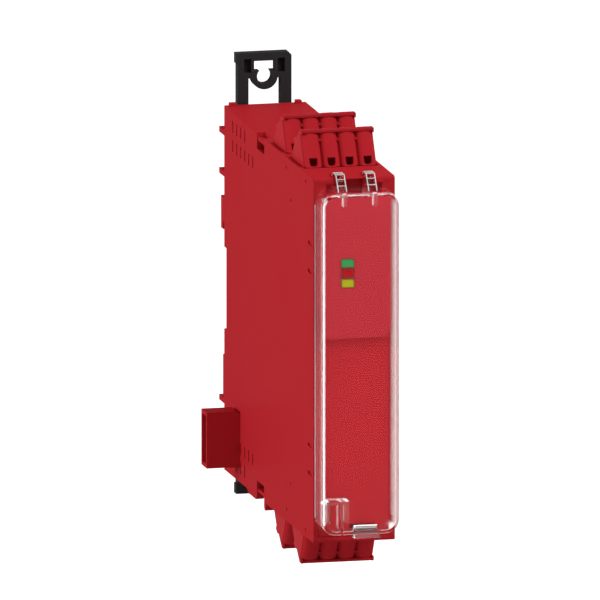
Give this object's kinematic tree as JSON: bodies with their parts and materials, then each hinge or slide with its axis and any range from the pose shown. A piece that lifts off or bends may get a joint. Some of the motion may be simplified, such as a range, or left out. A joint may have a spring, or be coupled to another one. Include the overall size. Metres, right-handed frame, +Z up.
{
  "type": "safety relay module",
  "caption": "Slim red rail-mounted relay module with a clear hinged front cover, push-in terminal plugs at top and bottom, indicator windows and a rear rail seat",
  "frame": {"origin": "on the front face of the rail, in the middle of the module's width and of the rail's height", "axes": "+X across the module to the right as seen from the front, +Y from the front to the rail, +Z up"},
  "size_m": [0.0317, 0.1201, 0.1235],
  "materials": {
    "red_plastic": "satin",
    "panel_plastic": "satin",
    "plug_plastic": "satin",
    "black_plastic": "satin",
    "clear_plastic": "clear gloss",
    "green_lens": "gloss",
    "red_lens": "gloss",
    "yellow_lens": "gloss",
    "contact_metal": "tin plated",
    "spring_steel": "bright",
    "board_laminate": "solder mask",
    "relay_case": "gloss",
    "coil_core": "lacquered",
    "capacitor_can": "satin"
  },
  "bodies": {
    "housing": {"main_shell": "red_plastic", "side_cover": "red_plastic", "front_panel": "red_plastic", "label_plate": "panel_plastic", "light_pipe_green": "green_lens", "light_pipe_red": "red_lens", "light_pipe_yellow": "yellow_lens", "extension_connector": "red_plastic", "extension_socket": "black_plastic", "main_board": "board_laminate", "upper_terminal_board": "board_laminate", "lower_terminal_board": "board_laminate", "upper_relay": "relay_case", "lower_relay": "relay_case", "transformer": "coil_core", "upper_capacitor": "capacitor_can", "lower_capacitor": "capacitor_can", "lamp_board": "board_laminate", "top_front_header": "contact_metal", "top_rear_header": "contact_metal", "bottom_front_header": "contact_metal", "bottom_rear_header": "contact_metal"},
    "clear_cover": {"clear_cover": "clear_plastic"},
    "upper_tab": {"upper_tab": "black_plastic"},
    "lower_foot": {"lower_foot": "black_plastic"},
    "top_front_plug": {"top_front_block": "plug_plastic", "top_front_contacts": "contact_metal", "top_front_springs": "spring_steel"},
    "top_rear_plug": {"top_rear_block": "plug_plastic", "top_rear_contacts": "contact_metal", "top_rear_springs": "spring_steel"},
    "bottom_front_plug": {"bottom_front_block": "plug_plastic", "bottom_front_contacts": "contact_metal", "bottom_front_springs": "spring_steel"},
    "bottom_rear_plug": {"bottom_rear_block": "plug_plastic", "bottom_rear_contacts": "contact_metal", "bottom_rear_springs": "spring_steel"}
  },
  "joints": [
    {"name": "cover_hinge", "type": "hinge", "parent": "housing", "child": "clear_cover", "pos_m": [0, -0.1027, 0.0485], "axis": [-1, 0, 0], "range_deg": [0, 110]},
    {"name": "upper_tab_slide", "type": "slide", "parent": "housing", "child": "upper_tab", "axis": [0, 0, -1], "range_m": [0, 0.011]},
    {"name": "lower_foot_slide", "type": "slide", "parent": "housing", "child": "lower_foot", "axis": [0, 0, 1], "range_m": [-0.007, 0.007]},
    {"name": "top_front_plug_pull", "type": "slide", "parent": "housing", "child": "top_front_plug", "axis": [0, 0, 1], "range_m": [0, 0.012]},
    {"name": "top_rear_plug_pull", "type": "slide", "parent": "housing", "child": "top_rear_plug", "axis": [0, 0, 1], "range_m": [0, 0.012]},
    {"name": "bottom_front_plug_pull", "type": "slide", "parent": "housing", "child": "bottom_front_plug", "axis": [0, 0, -1], "range_m": [0, 0.012]},
    {"name": "bottom_rear_plug_pull", "type": "slide", "parent": "housing", "child": "bottom_rear_plug", "axis": [0, 0, -1], "range_m": [0, 0.012]}
  ]
}
